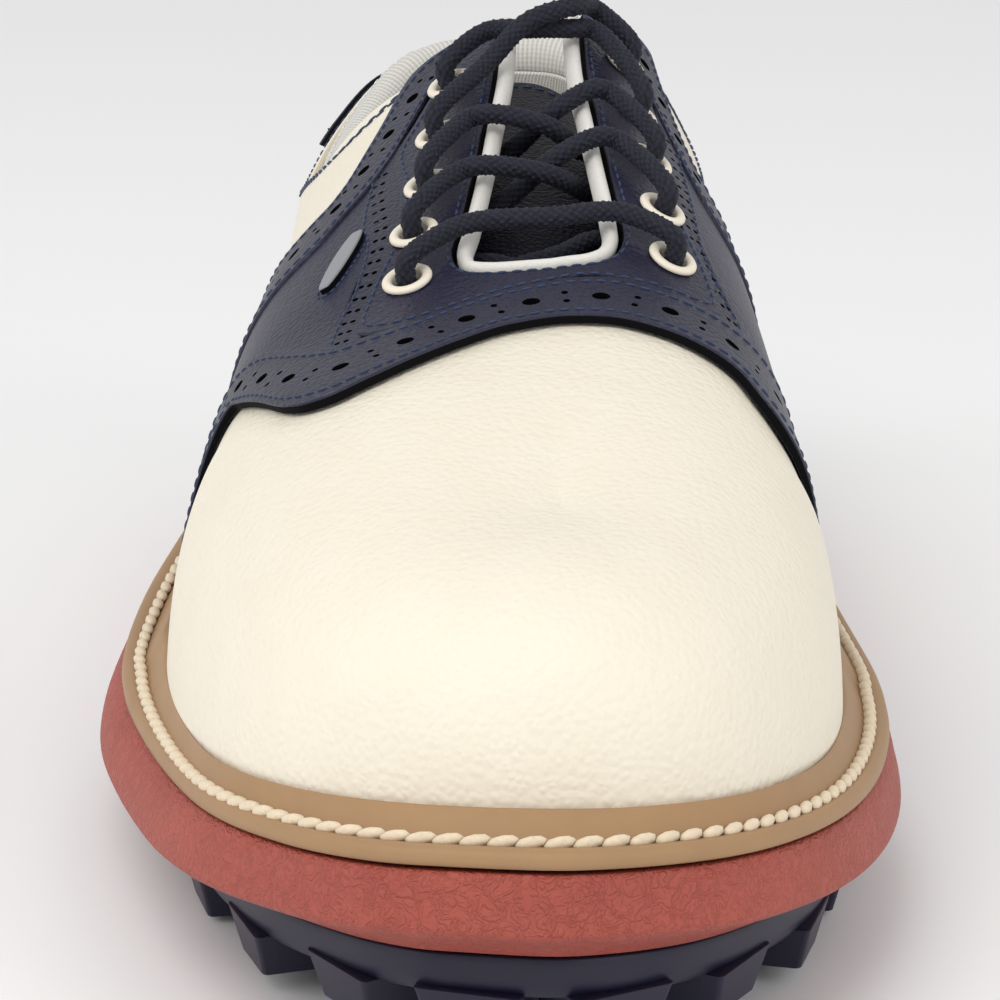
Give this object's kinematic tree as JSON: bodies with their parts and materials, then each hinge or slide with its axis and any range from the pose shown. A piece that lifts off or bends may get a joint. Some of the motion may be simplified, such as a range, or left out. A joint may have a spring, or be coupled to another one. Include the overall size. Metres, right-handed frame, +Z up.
{
  "type": "golf shoe",
  "caption": "Right low-cut golf shoe: leather saddle upper with layered overlays, padded collar, tongue, flat-laced eyestay, stitched welt, cushioned midsole and lugged outsole.",
  "frame": {"origin": "bottom of the lugs, at the middle of the shoe's length and width", "axes": "+Z up, toe towards -Y, heel towards +Y, inner (medial) side of this right shoe towards +X"},
  "size_m": [0.1189, 0.3023, 0.1156],
  "materials": {
    "cream_leather": "satin",
    "navy_leather": "satin",
    "lining_fabric": "matt knit",
    "foam": "matt foam",
    "stiffener": "matt",
    "throat_cord": "matt woven",
    "eyelet_plastic": "satin",
    "lace": "matt braided",
    "aglet": "gloss",
    "welt_rubber": "satin",
    "welt_thread": "waxed thread",
    "midsole_foam": "matt, wrinkled texture",
    "outsole_rubber": "matt",
    "shank_steel": "brushed",
    "footbed": "matt",
    "badge": "satin"
  },
  "bodies": {
    "shoe": {"outsole": "outsole_rubber", "midsole": "midsole_foam", "shank": "shank_steel", "welt": "welt_rubber", "welt_thread": "welt_thread", "insole_board": "stiffener", "vamp": "cream_leather", "toe_puff": "stiffener", "vamp_lining": "lining_fabric", "quarter_lateral": "cream_leather", "quarter_medial": "cream_leather", "heel_counter": "stiffener", "quarter_lining": "lining_fabric", "collar_foam": "foam", "collar_lining": "lining_fabric", "collar_binding": "lining_fabric", "heel_tab": "navy_leather", "front_band": "navy_leather", "saddle_lateral": "navy_leather", "saddle_medial": "navy_leather", "wedge_band_lateral": "navy_leather", "wedge_band_medial": "navy_leather", "rear_band_lateral": "navy_leather", "rear_band_medial": "navy_leather", "eyestay": "navy_leather", "eyelet_lateral_1": "eyelet_plastic", "eyelet_lateral_2": "eyelet_plastic", "eyelet_lateral_3": "eyelet_plastic", "eyelet_lateral_4": "eyelet_plastic", "eyelet_lateral_5": "eyelet_plastic", "eyelet_medial_1": "eyelet_plastic", "eyelet_medial_2": "eyelet_plastic", "eyelet_medial_3": "eyelet_plastic", "eyelet_medial_4": "eyelet_plastic", "eyelet_medial_5": "eyelet_plastic", "throat_binding": "throat_cord", "badge": "badge", "shoelace": "lace", "aglet_lateral": "aglet", "aglet_medial": "aglet"},
    "tongue_flap": {"tongue": "navy_leather", "tongue_padding": "foam", "tongue_lining": "lining_fabric"},
    "loose_footbed": {"footbed": "footbed"}
  },
  "joints": [
    {"name": "tongue_hinge", "type": "hinge", "parent": "shoe", "child": "tongue_flap", "pos_m": [0.007, -0.03755, 0.074], "axis": [1, 0, 0], "range_deg": [-12, 2]},
    {"name": "footbed_lift", "type": "hinge", "parent": "shoe", "child": "loose_footbed", "pos_m": [0.001, -0.13255, 0.034], "axis": [1, 0, 0], "range_deg": [0, 3]}
  ]
}
